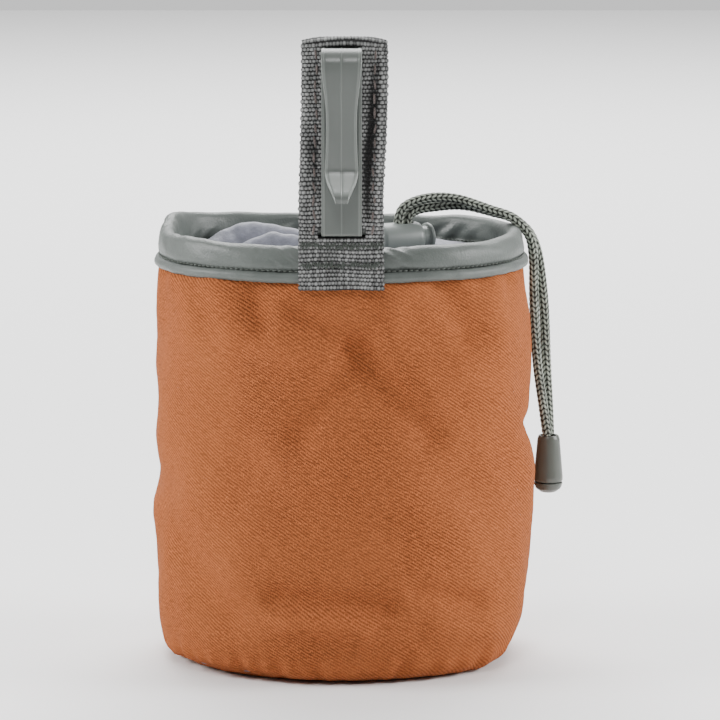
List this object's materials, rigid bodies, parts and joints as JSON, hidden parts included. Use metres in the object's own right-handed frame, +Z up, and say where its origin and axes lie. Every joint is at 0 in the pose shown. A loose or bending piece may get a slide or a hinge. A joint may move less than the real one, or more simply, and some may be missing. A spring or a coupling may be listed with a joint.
{
  "type": "treat pouch",
  "caption": "Soft oval training treat pouch with a drawstring cuff, spring cord lock and a belt clip on a webbing strap",
  "frame": {"origin": "centre of the flat base of the pouch", "axes": "+Z up, strap and belt clip on the -Y side, the cord end hangs on the +X side"},
  "size_m": [0.1269, 0.1037, 0.196],
  "materials": {
    "twill": "rust cotton twill",
    "lining": "lavender grey nylon",
    "leatherette": "grey leatherette, soft sheen",
    "piping_core": "twisted cotton cord",
    "braid": "grey green round braid",
    "webbing": "grey ribbed webbing",
    "clip_plastic": "satin grey moulded plastic",
    "lock_plastic": "satin light grey moulded plastic",
    "bell_plastic": "grey moulded plastic with a soft sheen",
    "spring_steel": "bright spring wire"
  },
  "bodies": {
    "bag": {"outer_side_panel": "twill", "outer_base_panel": "twill", "lining_side_panel": "lining", "lining_base_panel": "lining", "rim_binding": "leatherette", "rim_piping_cover": "leatherette", "rim_piping_cord": "piping_core", "drawstring_cuff": "lining", "drawcord_loop_in_hem": "braid", "drawcord_strand_a_over_rim": "braid", "drawcord_strand_b_over_rim": "braid", "strap_back_layer_sewn_end": "webbing", "strap_front_layer_sewn_end": "webbing"},
    "strap": {"strap_upper_loop": "webbing", "belt_clip_back_plate": "clip_plastic"},
    "tongue": {"belt_clip_tongue": "clip_plastic"},
    "lock": {"cord_lock_barrel": "lock_plastic", "cord_lock_spring": "spring_steel"},
    "plunger": {"cord_lock_plunger": "lock_plastic"},
    "cord_end": {"drawcord_strand_a_hanging": "braid", "drawcord_strand_b_hanging": "braid", "drawcord_end_knot": "braid", "cord_end_bell": "bell_plastic", "cord_end_cap": "bell_plastic"}
  },
  "joints": [
    {"name": "strap_bend", "type": "hinge", "parent": "bag", "child": "strap", "pos_m": [0.0005, -0.0455, 0.1353], "axis": [1, 0, 0], "range_deg": [-15, 30], "stiffness_Nm_per_rad": 0.15},
    {"name": "clip_flex", "type": "hinge", "parent": "strap", "child": "tongue", "pos_m": [0.0005, -0.05465, 0.18765], "axis": [-1, 0, 0], "range_deg": [0, 8], "stiffness_Nm_per_rad": 1.2},
    {"name": "lock_slide", "type": "slide", "parent": "bag", "child": "lock", "axis": [0, 0, -1], "range_m": [0, 0.003]},
    {"name": "plunger_press", "type": "slide", "parent": "lock", "child": "plunger", "axis": [-0.866, -0.5, 0], "range_m": [0, 0.0025], "stiffness_N_per_m": 800, "deforming": ["cord_lock_spring"]},
    {"name": "cord_end_swing", "type": "hinge", "parent": "bag", "child": "cord_end", "pos_m": [0.0588, 0.0085, 0.1332], "axis": [0, -1, 0], "range_deg": [0, 60]}
  ]
}
